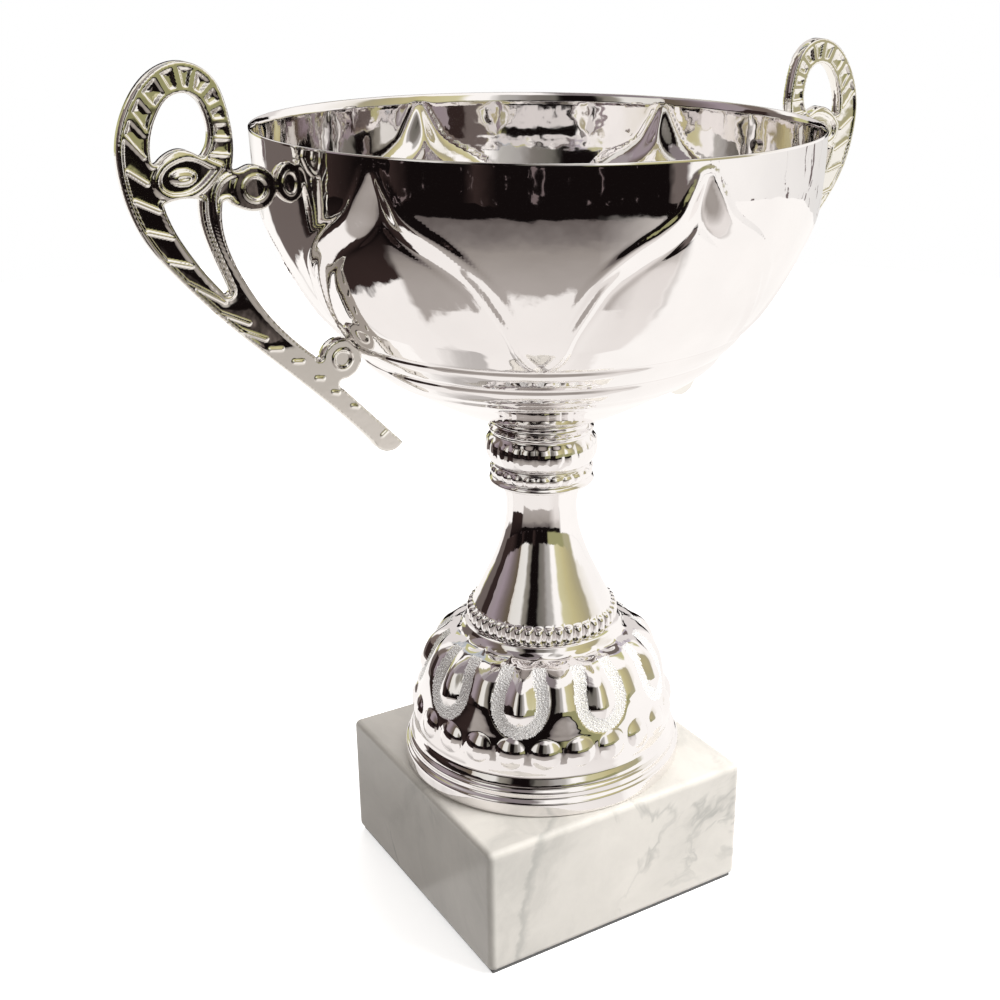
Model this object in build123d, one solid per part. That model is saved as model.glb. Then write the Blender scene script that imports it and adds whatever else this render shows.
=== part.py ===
from build123d import *
import os
from math import atan2, cos, radians, sin

# Two-handled cup trophy on a square marble block, in millimetres.
# The origin is the centre of the underside; +Z is up, the handles lie along X and -Y is the front.

# ---- driving dimensions ----
RIM_RADIUS = 69.6            # outside of the bowl's rim
RIM_Z = 211.4                # top of the bowl's rim
BOWL_WALL = 0.9
BOWL_SEAT_Z = 136.8          # underside of the bowl, on the knop
BOWL_SEAT_RADIUS = 13.0

BLOCK_SIDE = 81.0
BLOCK_TOP_Z = 37.6
BLOCK_EDGE = 1.8             # rounding of the marble's edges
PAD_THICKNESS = 1.0
PAD_MARGIN = 1.2             # the pad stops this far inside the block's sides

COUNTERBORE_RADIUS = 12.0
COUNTERBORE_TOP_Z = 14.0
ROD_RADIUS = 3.0             # M6 thread
ROD_HOLE_RADIUS = 3.4
ROD_END = 0.6                # chamfer of the rod's ends
NUT_FLATS = 10.0
NUT_HEIGHT = 5.0
BASE_WASHER_RADIUS = 9.0
BASE_WASHER_THICKNESS = 1.6
SPRING_WASHER_RADIUS = 5.9
SPRING_WASHER_THICKNESS = 1.6
SPRING_WASHER_SLOT = 1.2
SPRING_WASHER_SLOT_START = 1.0
BOWL_WASHER_RADIUS = 7.5
BOWL_WASHER_THICKNESS = 1.2
CAP_NUT_HEX = 4.5            # height of the cap nut's hexagon
CAP_NUT_DOME = 4.4           # radius of its dome
ROD_IN_DOME = 1.0            # how far the rod reaches into the dome
ROD_LOW_Z = 2.6

FOOT_TOP_Z = 78.4
FOOT_WALL = 2.2
ROD_TUBE_RADIUS = 6.0
FOOT_CROWN = 4.2             # thickness of the foot's top round the rod
FOOT_CROWN_MARGIN = 8.0      # the hollow's flat top ends this far inside the dome's wall
BOSS_COUNT = 24
BOSS_RADIUS = 3.3
BOSS_RING_RADIUS = 34.3
BOSS_Z = 54.8
BOSS_ROOT = 1.0              # how far a boss reaches inwards from its centre
STEM_TOP_Z = 118.5
STEM_WALL = 2.2
BEAD_COUNT = 36
BEAD_RADIUS = 1.55
BEAD_RING_RADIUS = 19.3
BEAD_Z = 80.0
BEAD_SEAT_Z = 81.6           # top of the cylinder that carries the beads
COLLAR_TOP_Z = 124.2

HANDLE_THICKNESS = 3.6
RELIEF = 0.45                # how far the rings and the eye stand out of the handle's faces
RING_WIDTH = 0.8
UPPER_LUG = (74.0, 201.3)    # centre of the upper lug's disc, along X and Z
UPPER_LUG_RADIUS = 4.95
UPPER_RING_RADIUS = 3.0
LOWER_LUG = (55.8, 160.0)
LOWER_LUG_RADIUS = 4.95
LOWER_LUG_SHOULDER = 15.0    # angle at which the branch leaves the lower lug
LOWER_LUG_TO_WALL = 4.1      # from the lug's centre to the bowl along the rivet
LOWER_RING_RADIUS = 2.6
LEAF_EYE = (89.7, 204.8)
LEAF_EYE_HALF = (2.8, 1.7)
RIVET_RADIUS = 1.0
RIVET_HEAD_RADIUS = 1.7
RIVET_HEAD = 0.7             # how far a peened head stands inside the bowl
RIVET_SPARE = 0.5            # what the upper rivet gains because the wall curves away

BOWL_INNER_Z = BOWL_SEAT_Z + BOWL_WALL

# Half sections as (radius, height).
LOWER_BOWL = [(BOWL_SEAT_RADIUS, BOWL_SEAT_Z), (20.1, 139.2), (28.5, 143.4), (35.7, 147.6), (42.0, 151.2)]
RING_3 = (42.9, 151.9)
BAND_B = [RING_3, (45.0, 154.0), (46.4, 156.4)]
RING_2 = (47.0, 156.9)
BAND_A = [RING_2, (49.9, 159.5), (51.4, 162.2)]
RING_1 = (52.0, 162.7)
BOWL_SIDE = [RING_1, (57.2, 168.7), (63.3, 179.2), (67.6, 189.6), (69.1, 199.0), (RIM_RADIUS, RIM_Z)]

FOOT_SKIRT = [(38.85, BLOCK_TOP_Z), (38.85, 41.8), (37.7, 42.9), (37.7, 44.4), (36.7, 45.2), (36.6, 48.0)]
FOOT_DOME = [(36.6, 48.0), (35.5, 55.3), (33.5, 62.0), (31.4, 67.9), (28.4, 72.1)]
FOOT_COLLAR = [(28.4, 72.1), (24.0, 76.3), (21.6, FOOT_TOP_Z)]
STEM_SIDE = [(19.9, 82.0), (16.5, 88.9), (12.6, 97.3), (10.05, 105.7), (9.55, 112.5), (10.7, STEM_TOP_Z)]
COLLAR_SIDE = [(12.6, STEM_TOP_Z), (14.0, 120.3), (14.1, 122.6), (13.4, COLLAR_TOP_Z)]
KNOP_SIDE = [(13.4, COLLAR_TOP_Z), (14.9, 128.6), (14.9, 131.4), (13.8, 134.2), (14.6, BOWL_SEAT_Z)]


def inset(points, distance):
    """The points moved inwards, to the left of their path, by a distance."""
    moved = []
    for i, (r, z) in enumerate(points):
        before = points[max(i - 1, 0)]
        after = points[min(i + 1, len(points) - 1)]
        heading = atan2(after[1] - before[1], after[0] - before[0])
        moved.append((r - distance * sin(heading), z + distance * cos(heading)))
    return moved


def turned(*edges):
    """The solid of revolution about Z of a half section drawn in the XZ plane."""
    return revolve(Plane.XZ * make_face(Curve() + list(edges)), Axis.Z)


def disc(radius, low, high):
    """A solid cylinder on the Z axis."""
    return Pos(0, 0, (low + high) / 2) * Cylinder(radius, high - low)


def ring_of(shape, count, first=0.0):
    """Copies of a shape spaced evenly about Z, the first one a share of a pitch from +X."""
    return [Rot(0, 0, 360 * (i + first) / count) * shape for i in range(count)]


# ---- base ----
def make_base_pad():
    side = BLOCK_SIDE - 2 * PAD_MARGIN
    return Pos(0, 0, PAD_THICKNESS / 2) * Box(side, side, PAD_THICKNESS)


def make_marble_base():
    height = BLOCK_TOP_Z - PAD_THICKNESS
    block = Pos(0, 0, PAD_THICKNESS + height / 2) * Box(BLOCK_SIDE, BLOCK_SIDE, height)
    block = fillet(block.edges(), BLOCK_EDGE)
    block -= disc(ROD_HOLE_RADIUS, PAD_THICKNESS, BLOCK_TOP_Z)
    return block - disc(COUNTERBORE_RADIUS, PAD_THICKNESS, COUNTERBORE_TOP_Z)


BASE_WASHER_LOW = COUNTERBORE_TOP_Z - BASE_WASHER_THICKNESS
SPRING_WASHER_LOW = BASE_WASHER_LOW - SPRING_WASHER_THICKNESS
BASE_NUT_LOW = SPRING_WASHER_LOW - NUT_HEIGHT


def make_base_washer():
    plate = disc(BASE_WASHER_RADIUS, BASE_WASHER_LOW, COUNTERBORE_TOP_Z)
    return plate - disc(ROD_HOLE_RADIUS, BASE_WASHER_LOW, COUNTERBORE_TOP_Z)


def make_base_spring_washer():
    coil = disc(SPRING_WASHER_RADIUS, SPRING_WASHER_LOW, BASE_WASHER_LOW)
    coil -= disc(ROD_HOLE_RADIUS, SPRING_WASHER_LOW, BASE_WASHER_LOW)
    slot = Box(SPRING_WASHER_RADIUS, SPRING_WASHER_SLOT, 2 * SPRING_WASHER_THICKNESS)
    slot_x = SPRING_WASHER_RADIUS / 2 + SPRING_WASHER_SLOT_START
    return coil - Pos(slot_x, 0, SPRING_WASHER_LOW + SPRING_WASHER_THICKNESS / 2) * slot


def hex_prism(low, height):
    return Pos(0, 0, low) * extrude(RegularPolygon(NUT_FLATS / 2, 6, major_radius=False), height)


def make_base_nut():
    return hex_prism(BASE_NUT_LOW, NUT_HEIGHT) - disc(ROD_RADIUS, BASE_NUT_LOW, SPRING_WASHER_LOW)


BOWL_NUT_LOW = BOWL_INNER_Z + BOWL_WASHER_THICKNESS
ROD_HIGH_Z = BOWL_NUT_LOW + CAP_NUT_HEX + ROD_IN_DOME


def make_tie_rod():
    rod = disc(ROD_RADIUS, ROD_LOW_Z, ROD_HIGH_Z)
    return chamfer(rod.edges().filter_by(GeomType.CIRCLE), ROD_END)


# ---- foot, stem and knop ----
def make_foot_shell():
    hollow_top = FOOT_TOP_Z - FOOT_CROWN
    outer = turned(Polyline((0, BLOCK_TOP_Z), *FOOT_SKIRT), Spline(*FOOT_DOME),
                   Spline(*FOOT_COLLAR), Polyline(FOOT_COLLAR[-1], (0, FOOT_TOP_Z), (0, BLOCK_TOP_Z)))
    hollow_dome = inset(FOOT_DOME, FOOT_WALL)
    hollow_low = (hollow_dome[0][0], BLOCK_TOP_Z)
    hollow_high = (hollow_dome[-1][0] - FOOT_CROWN_MARGIN, hollow_top)
    hollow = turned(Polyline((0, BLOCK_TOP_Z), hollow_low, hollow_dome[0]), Spline(*hollow_dome),
                    Polyline(hollow_dome[-1], hollow_high, (0, hollow_top), (0, BLOCK_TOP_Z)))
    hollow -= disc(ROD_TUBE_RADIUS, BLOCK_TOP_Z, FOOT_TOP_Z)
    shell = outer - hollow
    boss = Pos(BOSS_RING_RADIUS, 0, BOSS_Z) * Sphere(BOSS_RADIUS)
    boss -= disc(BOSS_RING_RADIUS - BOSS_ROOT, BOSS_Z - 2 * BOSS_RADIUS, BOSS_Z + 2 * BOSS_RADIUS)
    shell = shell + ring_of(boss, BOSS_COUNT)
    return shell - disc(ROD_HOLE_RADIUS, BLOCK_TOP_Z, FOOT_TOP_Z)


def make_stem_cone():
    low = FOOT_TOP_Z
    outer = turned(Polyline((0, low), (BEAD_RING_RADIUS, low), (BEAD_RING_RADIUS, BEAD_SEAT_Z), STEM_SIDE[0]),
                   Spline(*STEM_SIDE), Polyline(STEM_SIDE[-1], (0, STEM_TOP_Z), (0, low)))
    wall = inset(STEM_SIDE[:4], STEM_WALL)
    hollow = turned(Polyline((0, low), (wall[0][0], low), wall[0]), Spline(*wall),
                    Polyline(wall[-1], (0, wall[-1][1]), (0, low)))
    hollow -= disc(ROD_TUBE_RADIUS, low, STEM_TOP_Z)
    bead = Pos(BEAD_RING_RADIUS, 0, BEAD_Z) * Sphere(BEAD_RADIUS)
    return outer + ring_of(bead, BEAD_COUNT, first=0.5) - hollow - disc(ROD_HOLE_RADIUS, low, STEM_TOP_Z)


def make_knop_collar():
    low = COLLAR_SIDE[0][1]
    body = turned(Polyline((0, low), COLLAR_SIDE[0]), Spline(*COLLAR_SIDE),
                  Polyline(COLLAR_SIDE[-1], (0, COLLAR_TOP_Z), (0, low)))
    return body - disc(ROD_HOLE_RADIUS, low, COLLAR_TOP_Z)


def make_knop():
    low = KNOP_SIDE[0][1]
    body = turned(Polyline((0, low), KNOP_SIDE[0]), Spline(*KNOP_SIDE),
                  Polyline(KNOP_SIDE[-1], (0, BOWL_SEAT_Z), (0, low)))
    return body - disc(ROD_HOLE_RADIUS, low, BOWL_SEAT_Z)


# ---- bowl ----
def make_bowl_envelope():
    """The bowl's outside as one full solid."""
    return turned(Line((0, BOWL_SEAT_Z), LOWER_BOWL[0]), Spline(*LOWER_BOWL), Line(LOWER_BOWL[-1], RING_3),
                  ThreePointArc(*BAND_B), Line(BAND_B[-1], RING_2), ThreePointArc(*BAND_A),
                  Line(BAND_A[-1], RING_1), Spline(*BOWL_SIDE),
                  Polyline(BOWL_SIDE[-1], (0, RIM_Z), (0, BOWL_SEAT_Z)))


def make_bowl_cavity():
    """The space inside the bowl, up to the rim."""
    path = LOWER_BOWL[:-1] + [(42.5, 151.6), RING_2, (51.7, 162.4)] + BOWL_SIDE[1:]
    wall = inset(path, BOWL_WALL)
    wall[0] = (wall[0][0], BOWL_INNER_Z)
    wall[-1] = (RIM_RADIUS - BOWL_WALL, RIM_Z)
    return turned(Line((0, BOWL_INNER_Z), wall[0]), Spline(*wall),
                  Polyline(wall[-1], (0, RIM_Z), (0, BOWL_INNER_Z)))


bowl_envelope = make_bowl_envelope()
bowl_cavity = make_bowl_cavity()


def rod_towards(point, heading, start, end, radius):
    """A cylinder in the XZ plane through a point, from one distance to another along its heading."""
    middle = (start + end) / 2
    x = point[0] + middle * cos(radians(heading))
    z = point[1] + middle * sin(radians(heading))
    return Pos(x, 0, z) * Rot(0, 90 - heading, 0) * Cylinder(radius, end - start)


UPPER_RIVET = dict(point=UPPER_LUG, heading=180)
LOWER_RIVET = dict(point=LOWER_LUG, heading=138)


def rivet(place, wall_distance):
    """One rivet from a lug's centre through the bowl's wall, with its head peened inside."""
    shank = rod_towards(**place, start=0, end=wall_distance, radius=RIVET_RADIUS)
    head = rod_towards(**place, start=0, end=wall_distance, radius=RIVET_HEAD_RADIUS)
    return shank + (head & bowl_cavity)


UPPER_RIVET_END = UPPER_LUG[0] - RIM_RADIUS + BOWL_WALL + RIVET_HEAD + RIVET_SPARE
LOWER_RIVET_END = LOWER_LUG_TO_WALL + BOWL_WALL + RIVET_HEAD
right_rivets = [rivet(UPPER_RIVET, UPPER_RIVET_END), rivet(LOWER_RIVET, LOWER_RIVET_END)]
rivets = right_rivets + [Rot(0, 0, 180) * r for r in right_rivets]


def make_bowl():
    bowl = bowl_envelope - bowl_cavity - disc(ROD_HOLE_RADIUS, BOWL_SEAT_Z, BOWL_INNER_Z)
    for r in rivets:
        bowl -= r
    return bowl


def make_bowl_washer():
    plate = disc(BOWL_WASHER_RADIUS, BOWL_INNER_Z, BOWL_NUT_LOW)
    return plate - disc(ROD_HOLE_RADIUS, BOWL_INNER_Z, BOWL_NUT_LOW)


def make_bowl_nut():
    dome_z = BOWL_NUT_LOW + CAP_NUT_HEX
    upper_half = disc(2 * CAP_NUT_DOME, dome_z, dome_z + 2 * CAP_NUT_DOME)
    dome = (Pos(0, 0, dome_z) * Sphere(CAP_NUT_DOME)) & upper_half
    return hex_prism(BOWL_NUT_LOW, CAP_NUT_HEX) + dome - disc(ROD_RADIUS, BOWL_NUT_LOW, ROD_HIGH_Z)


# ---- handles ----
def handle_outline():
    """The handle's face in X and Z: a loop, a long strap with a free tail, and an inner branch with two lugs."""
    lug_x, lug_z = UPPER_LUG
    lug_top = (lug_x, lug_z + UPPER_LUG_RADIUS)
    lug_low = (lug_x, lug_z - UPPER_LUG_RADIUS)
    notch = (78.9, 206.0)
    low_x, low_z = LOWER_LUG
    low_bottom = (low_x, low_z - LOWER_LUG_RADIUS)
    shoulder = radians(LOWER_LUG_SHOULDER)
    low_right = (low_x + LOWER_LUG_RADIUS * cos(shoulder), low_z + LOWER_LUG_RADIUS * sin(shoulder))
    loop_and_strap = Spline(notch, (78.2, 211.0), (79.1, 219.0), (82.0, 225.6), (87.8, 228.5), (94.4, 226.5),
                            (99.6, 220.6), (102.7, 212.0), (102.3, 202.5), (98.8, 192.0), (92.3, 182.8),
                            (81.3, 170.6), (64.0, 153.8), (48.8, 137.8))
    tail_end = ThreePointArc((48.8, 137.8), (44.6, 134.9), (40.9, 136.6))
    tail_side = Line((40.9, 136.6), (55.9, 152.7))
    under_lug = ThreePointArc((55.9, 152.7), (56.8, 154.0), low_bottom)
    lower_lug = ThreePointArc(low_bottom, (low_x - LOWER_LUG_RADIUS, low_z), low_right)
    beside_lug = ThreePointArc(low_right, (61.2, 160.5), (62.3, 161.5))
    branch = Spline((62.3, 161.5), (66.9, 165.8), (72.5, 172.2), (77.9, 181.1), (81.3, 189.6), (82.0, 195.5),
                    (81.6, 198.6))
    corner = ThreePointArc((81.6, 198.6), (80.8, 199.2), (79.6, 198.4))
    neck_low = Spline((79.6, 198.4), (77.2, 197.0), lug_low)
    upper_lug = ThreePointArc(lug_low, (lug_x - UPPER_LUG_RADIUS, lug_z), lug_top)
    neck_high = Spline(lug_top, (76.2, 205.7), (77.5, 205.3), notch)
    return [loop_and_strap, tail_end, tail_side, under_lug, lower_lug, beside_lug, branch, corner, neck_low,
            upper_lug, neck_high]


def finger_hole():
    """The loop's hole, with the leaf's arch along its lower side."""
    side = Spline((85.2, 208.6), (83.1, 213.0), (83.5, 217.0), (85.2, 220.7), (88.2, 222.1), (91.4, 221.2),
                  (94.0, 218.0), (95.9, 213.0), (96.2, 209.0))
    corner = ThreePointArc((96.2, 209.0), (95.4, 207.9), (94.3, 208.4))
    arch = Spline((94.3, 208.4), (92.4, 209.8), (89.4, 210.6), (87.0, 209.8), (85.2, 208.6))
    return [side, corner, arch]


def side_hole():
    """The long three-cornered hole between the strap and the inner branch."""
    outer = Spline((94.4, 199.4), (92.9, 194.6), (90.1, 189.1), (86.4, 183.5), (83.0, 179.2))
    tip = ThreePointArc((83.0, 179.2), (82.1, 178.4), (81.3, 179.5))
    inner = Spline((81.3, 179.5), (82.6, 183.0), (84.6, 188.6), (86.1, 194.6), (86.1, 199.8))
    top = ThreePointArc((86.1, 199.8), (90.2, 200.3), (94.4, 199.4))
    return [outer, tip, inner, top]


def plate(edges, thickness):
    """A flat plate of an outline in X and Z, centred on Y."""
    return extrude(Plane.XZ * make_face(Curve() + edges), thickness / 2, both=True)


def face_ring(centre, radius):
    """A raised ring on both faces, as one ring through the plate."""
    tube = Cylinder(radius, HANDLE_THICKNESS + 2 * RELIEF) - Cylinder(radius - RING_WIDTH, HANDLE_THICKNESS)
    tube -= Pos(0, 0, HANDLE_THICKNESS / 2) * Cylinder(radius - RING_WIDTH, 2 * RELIEF)
    tube -= Pos(0, 0, -HANDLE_THICKNESS / 2) * Cylinder(radius - RING_WIDTH, 2 * RELIEF)
    return Pos(centre[0], 0, centre[1]) * Rot(90, 0, 0) * tube


def make_handle():
    """The right-hand handle."""
    body = plate(handle_outline(), HANDLE_THICKNESS)
    body -= plate(finger_hole(), 2 * HANDLE_THICKNESS)
    body -= plate(side_hole(), 2 * HANDLE_THICKNESS)
    body += face_ring(UPPER_LUG, UPPER_RING_RADIUS)
    body += face_ring(LOWER_LUG, LOWER_RING_RADIUS)
    eye = extrude(Plane.XZ * Ellipse(*LEAF_EYE_HALF), HANDLE_THICKNESS / 2 + RELIEF, both=True)
    body += Pos(LEAF_EYE[0], 0, LEAF_EYE[1]) * eye
    body -= bowl_envelope
    for r in right_rivets:
        body -= r
    return body


handle_right = make_handle()

nodes = {
    "base_pad": make_base_pad(),
    "marble_base": make_marble_base(),
    "base_washer": make_base_washer(),
    "base_spring_washer": make_base_spring_washer(),
    "base_nut": make_base_nut(),
    "tie_rod": make_tie_rod(),
    "foot_shell": make_foot_shell(),
    "stem_cone": make_stem_cone(),
    "knop_collar": make_knop_collar(),
    "knop": make_knop(),
    "bowl": make_bowl(),
    "bowl_washer": make_bowl_washer(),
    "bowl_nut": make_bowl_nut(),
    "handle_right": handle_right,
    "handle_left": Rot(0, 0, 180) * handle_right,
    "handle_rivets": Compound(children=rivets),
}

os.makedirs("parts", exist_ok=True)
for name, shape in nodes.items():
    export_step(shape, f"parts/{name}.step")
    box = shape.bounding_box()
    print(f"{name}: volume {shape.volume:.1f}, {box.min} to {box.max}, valid {shape.is_valid}")
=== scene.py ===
import math

import bpy
import numpy as np
from mathutils import Matrix, Vector
from mathutils.geometry import delaunay_2d_cdt


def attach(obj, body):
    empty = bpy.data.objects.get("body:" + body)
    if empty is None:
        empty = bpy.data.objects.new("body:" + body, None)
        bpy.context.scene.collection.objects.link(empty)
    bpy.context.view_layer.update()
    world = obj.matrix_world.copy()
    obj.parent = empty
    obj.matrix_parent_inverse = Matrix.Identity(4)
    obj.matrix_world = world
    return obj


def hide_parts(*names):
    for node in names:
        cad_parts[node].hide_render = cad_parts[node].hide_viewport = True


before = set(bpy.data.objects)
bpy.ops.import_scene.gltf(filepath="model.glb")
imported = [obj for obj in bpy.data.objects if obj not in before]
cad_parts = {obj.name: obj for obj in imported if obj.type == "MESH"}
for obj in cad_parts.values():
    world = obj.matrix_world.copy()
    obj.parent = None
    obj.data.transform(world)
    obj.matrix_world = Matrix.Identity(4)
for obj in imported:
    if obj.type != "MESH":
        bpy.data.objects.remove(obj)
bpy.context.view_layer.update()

# Two-handled cup trophy: the looks of its pieces, drawn in millimetres and built in metres.
# Azimuths are in degrees about Z from +X. A half section is a list of (radius, height).
MM = 0.001
rng = np.random.default_rng(7)


# ---- curves and steps ----
def smoothstep(low, high, value):
    """0 below low, 1 above high and a smooth ramp between them."""
    t = np.clip((value - low) / (high - low), 0.0, 1.0)
    return t * t * (3.0 - 2.0 * t)


def window(value, rise, fall):
    """1 inside a stretch that comes in over rise and goes out over fall, which runs backwards."""
    return smoothstep(*rise, value) * smoothstep(*fall, value)


def bump(distance, half_width):
    """1 at distance 0, falling smoothly to 0 at half_width."""
    u = np.clip(np.abs(distance) / half_width, 0.0, 1.0)
    return (1.0 - u * u) ** 2


def dome(distance, half_width):
    """Like bump, but round on top and steep at its foot."""
    u = np.clip(np.abs(distance) / half_width, 0.0, 1.0)
    return np.sqrt(1.0 - u * u)


def smooth_curve(points, step):
    """A curve through the points, sampled every step along it."""
    p = np.array(points, float)
    run = np.concatenate([[0.0], np.cumsum(np.linalg.norm(np.diff(p, axis=0), axis=1))])
    slope = np.gradient(p, run, axis=0)
    s = np.linspace(0.0, run[-1], max(2, int(round(run[-1] / step)) + 1))
    i = np.clip(np.searchsorted(run, s, side="right") - 1, 0, len(run) - 2)
    gap = (run[i + 1] - run[i])[:, None]
    t = (s[:, None] - run[i][:, None]) / gap
    low_end = (1 + 2 * t) * (1 - t) ** 2 * p[i] + t * (1 - t) ** 2 * gap * slope[i]
    return low_end + t * t * (3 - 2 * t) * p[i + 1] + t * t * (t - 1) * gap * slope[i + 1]


def joined(*stretches):
    """Stretches end to end, without doubled points."""
    path = [stretches[0]]
    for stretch in stretches[1:]:
        same = np.linalg.norm(stretch[0] - path[-1][-1]) < 1e-6
        path.append(stretch[1:] if same else stretch)
    return np.concatenate(path)


def straight(points, step):
    """Straight runs through the points, sampled every step."""
    return joined(*[smooth_curve([a, b], step) for a, b in zip(points[:-1], points[1:])])


def softened(path, rounds):
    """The path with its corners rounded a little; its ends stay."""
    for _ in range(rounds):
        path = np.concatenate([path[:1], 0.25 * path[:-2] + 0.5 * path[1:-1] + 0.25 * path[2:], path[-1:]])
    return path


def path_normals(path):
    """Unit normals to the right of the path's direction, which is outwards where it climbs."""
    along = np.gradient(path, axis=0)
    along /= np.linalg.norm(along, axis=1)[:, None]
    return np.stack([along[:, 1], -along[:, 0]], axis=1)


def line_distance(points, line):
    """Distance from each point to a polyline, in two or three dimensions."""
    best = np.full(len(points), 1e9)
    for a, b in zip(line[:-1], line[1:]):
        along = b - a
        t = np.clip((points - a) @ along / max(along @ along, 1e-12), 0.0, 1.0)
        best = np.minimum(best, np.linalg.norm(points - a - t[:, None] * along, axis=1))
    return best


def sector(azimuth, first, count):
    """Signed angle from the nearest of count directions spaced evenly from the first."""
    pitch = 360.0 / count
    return (azimuth - first + pitch / 2) % pitch - pitch / 2


# ---- meshes ----
HIDDEN_STEP = 4.0


def new_piece(name, points, faces, materials, nodes, second=None):
    """A smooth piece from points in millimetres. second marks the faces that take the second material."""
    mesh = bpy.data.meshes.new(name)
    mesh.vertices.add(len(points))
    mesh.vertices.foreach_set("co", (np.asarray(points, np.float32) * MM).ravel())
    sides = faces.shape[1]
    mesh.loops.add(faces.size)
    mesh.loops.foreach_set("vertex_index", faces.ravel().astype(np.int32))
    mesh.polygons.add(len(faces))
    mesh.polygons.foreach_set("loop_start", np.arange(0, faces.size, sides, dtype=np.int32))
    for material in materials:
        mesh.materials.append(material)
    if second is not None:
        mesh.polygons.foreach_set("material_index", second.astype(np.int32))
    mesh.update(calc_edges=True)
    mesh.validate()
    mesh.shade_smooth()
    piece = bpy.data.objects.new(name, mesh)
    bpy.context.scene.collection.objects.link(piece)
    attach(piece, "root")
    if nodes:
        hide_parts(*nodes)
    return piece


def turned_points(path, normals, key, columns, lift, share):
    """Points of a turned piece: each row of the path goes round Z, moved along its normal by lift."""
    azimuth = np.arange(columns) * 360.0 / columns
    a, row = np.meshgrid(azimuth, np.arange(len(path)))
    rise = lift(a.ravel(), key[row.ravel(), 0], key[row.ravel(), 1]).reshape(a.shape) * share[:, None]
    r = path[:, :1] + rise * normals[:, :1]
    z = path[:, 1:] + rise * normals[:, 1:]
    angle = np.radians(a)
    return np.stack([r * np.cos(angle), r * np.sin(angle), z], axis=2).reshape(-1, 3)


def ring_faces(rows, columns):
    """Faces of a closed band of rows that runs round Z and back to its first row."""
    i, j = np.meshgrid(np.arange(rows), np.arange(columns), indexing="ij")
    up, right = (i + 1) % rows, (j + 1) % columns
    quads = np.stack([i * columns + j, i * columns + right, up * columns + right, up * columns + j], axis=2)
    return quads.reshape(-1, 4)


def turned_piece(name, outside, hole_radius, columns, lift, materials, nodes, second=None):
    """A turned piece with a hole on Z: its outside climbs, then the path goes down the hole and closes."""
    low, high = outside[0, 1], outside[-1, 1]
    over = straight([outside[-1], (hole_radius, high), (hole_radius, low), outside[0]], HIDDEN_STEP)[1:-1]
    path = np.concatenate([outside, over])
    normals = path_normals(path)
    share = np.concatenate([np.ones(len(outside)), np.zeros(len(over))])
    share[[0, len(outside) - 1]] = 0.0
    points = turned_points(path, normals, path, columns, lift, share)
    faces = ring_faces(len(path), columns)
    marks = None
    if second is not None:
        middle = np.arctan2(points[faces, 1].mean(1), points[faces, 0].mean(1))
        marks = second(np.degrees(middle), points[faces, 2].mean(1))
    return new_piece(name, points, faces, materials, nodes, marks)


# ---- materials ----
def node_material(name):
    material = bpy.data.materials.new(name)
    material.use_nodes = True
    shader = material.node_tree.nodes["Principled BSDF"]
    return material, material.node_tree, shader


def add_node(tree, kind, inputs=None, **settings):
    node = tree.nodes.new(kind)
    for key, value in settings.items():
        setattr(node, key, value)
    for key, value in (inputs or {}).items():
        if isinstance(value, bpy.types.NodeSocket):
            tree.links.new(value, node.inputs[key])
        else:
            node.inputs[key].default_value = value
    return node


def object_position(tree):
    return add_node(tree, "ShaderNodeTexCoord").outputs["Object"]


def noise(tree, scale, detail=3.0, roughness=0.5, distortion=0.0, vector=None):
    source = vector or object_position(tree)
    values = {"Vector": source, "Scale": scale, "Detail": detail, "Roughness": roughness,
              "Distortion": distortion}
    return add_node(tree, "ShaderNodeTexNoise", values).outputs["Fac"]


def ramp(tree, value, stops):
    """A colour ramp over stops of (place, grey or colour)."""
    node = add_node(tree, "ShaderNodeValToRGB", {"Fac": value})
    elements = node.color_ramp.elements
    while len(elements) < len(stops):
        elements.new(0.5)
    for element, (place, colour) in zip(elements, stops):
        element.position = place
        rgb = (colour,) * 3 if isinstance(colour, (int, float)) else colour
        element.color = (*rgb, 1.0)
    return node.outputs["Color"]


def calculated(tree, operation, *values):
    """A Math node's result over sockets or plain numbers."""
    return add_node(tree, "ShaderNodeMath", dict(enumerate(values)), operation=operation).outputs[0]


def scaled(tree, value, low, high):
    """A 0 to 1 value brought into low to high."""
    return add_node(tree, "ShaderNodeMapRange", {"Value": value, "To Min": low, "To Max": high}).outputs[0]


def blended(tree, share, first, second):
    values = {"Factor": share, "A": first, "B": second}
    return add_node(tree, "ShaderNodeMix", values, data_type="RGBA").outputs["Result"]


def bumped(tree, shader, height, strength, distance):
    values = {"Height": height, "Strength": strength, "Distance": distance}
    tree.links.new(add_node(tree, "ShaderNodeBump", values).outputs[0], shader.inputs["Normal"])


def mirror_metal(name, light, dark, rough, wave_scale, wave, grain=0.0):
    """Bright plating: faint cloudiness, a slightly wavy surface and fine wear in the roughness."""
    material, tree, shader = node_material(name)
    shader.inputs["Metallic"].default_value = 1.0
    cloud = noise(tree, 45.0, 4.0)
    colour = ramp(tree, cloud, [(0.3, dark), (0.7, light)])
    tree.links.new(colour, shader.inputs["Base Color"])
    wear = noise(tree, 900.0, 5.0, 0.6)
    tree.links.new(scaled(tree, wear, *rough), shader.inputs["Roughness"])
    height = noise(tree, wave_scale, 2.0)
    if grain:
        fine = noise(tree, 2600.0, 3.0, 0.7)
        height = add_node(tree, "ShaderNodeMix", {"Factor": grain, "A": height, "B": fine}).outputs[0]
    bumped(tree, shader, height, 0.35, wave)
    return material


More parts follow.
